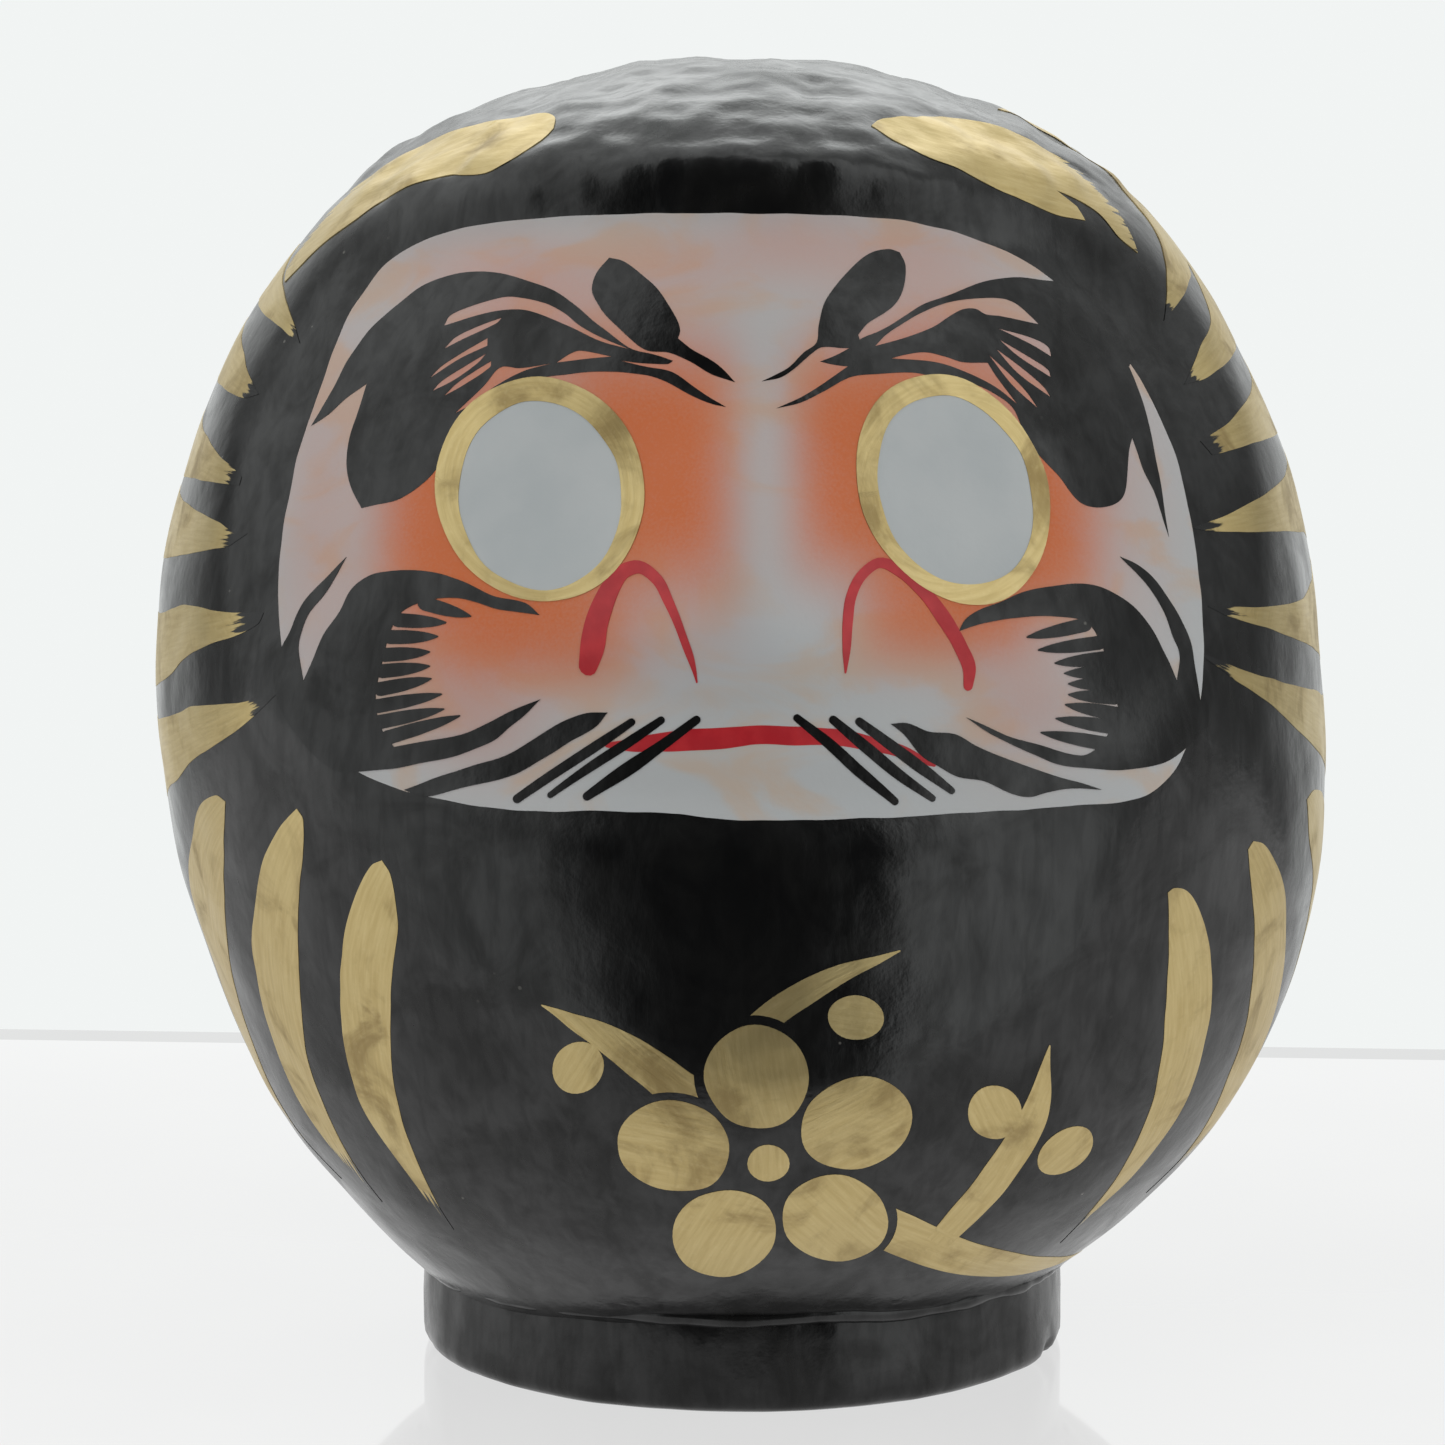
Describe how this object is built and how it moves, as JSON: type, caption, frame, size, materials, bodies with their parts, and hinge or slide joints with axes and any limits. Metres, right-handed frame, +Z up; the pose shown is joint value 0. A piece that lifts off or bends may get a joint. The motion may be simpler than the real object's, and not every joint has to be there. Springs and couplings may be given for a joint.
{
  "type": "daruma doll",
  "caption": "Round papier-mache wishing doll with a black hood, a painted face, gold brush strokes, and a weighted foot that keeps it upright.",
  "frame": {"origin": "centre of the underside of the foot, on the surface it stands on", "axes": "+Z up through the crown; the face looks along -Y; -X is the side on the left when seen from the front"},
  "size_m": [0.156, 0.1502, 0.172],
  "materials": {
    "shell_front": "black lacquer paint on pressed paper, semi-gloss",
    "shell_back": "black lacquer paint on pressed paper, semi-gloss",
    "joint_tape": "brown paper tape, bare",
    "ballast": "unfired clay, rough",
    "filling_plug": "unfired clay, rough",
    "foot_ring": "clay, black lacquer paint, worn at the lower edge",
    "foot_bead": "clay slip and black paint",
    "underside_paper": "bare paper disc, matt",
    "face_ground": "white body-colour paint with an orange airbrushed blush, matt",
    "mouth_line": "red lacquer paint, brushed on",
    "eye_white_left": "white body-colour paint, matt",
    "eye_ring_left": "gold bronze paint, brushed on, satin",
    "nose_line_left": "red lacquer paint, brushed on",
    "eyebrow_left": "black lacquer paint, brushed on",
    "moustache_left": "black lacquer paint, brushed on",
    "hood_strokes_left": "gold bronze paint, brushed on, satin",
    "belly_strokes_left": "gold bronze paint, brushed on, satin",
    "eye_white_right": "white body-colour paint, matt",
    "eye_ring_right": "gold bronze paint, brushed on, satin",
    "nose_line_right": "red lacquer paint, brushed on",
    "eyebrow_right": "black lacquer paint, brushed on",
    "moustache_right": "black lacquer paint, brushed on",
    "hood_strokes_right": "gold bronze paint, brushed on, satin",
    "belly_strokes_right": "gold bronze paint, brushed on, satin",
    "belly_motif": "gold bronze paint, brushed on, satin"
  },
  "bodies": {
    "root": {"shell_front": "shell_front", "shell_back": "shell_back", "joint_tape": "joint_tape", "ballast": "ballast", "filling_plug": "filling_plug", "foot_ring": "foot_ring", "foot_bead": "foot_bead", "underside_paper": "underside_paper", "face_ground": "face_ground", "mouth_line": "mouth_line", "eye_white_left": "eye_white_left", "eye_ring_left": "eye_ring_left", "nose_line_left": "nose_line_left", "eyebrow_left": "eyebrow_left", "moustache_left": "moustache_left", "hood_strokes_left": "hood_strokes_left", "belly_strokes_left": "belly_strokes_left", "eye_white_right": "eye_white_right", "eye_ring_right": "eye_ring_right", "nose_line_right": "nose_line_right", "eyebrow_right": "eyebrow_right", "moustache_right": "moustache_right", "hood_strokes_right": "hood_strokes_right", "belly_strokes_right": "belly_strokes_right", "belly_motif": "belly_motif"}
  },
  "joints": []
}
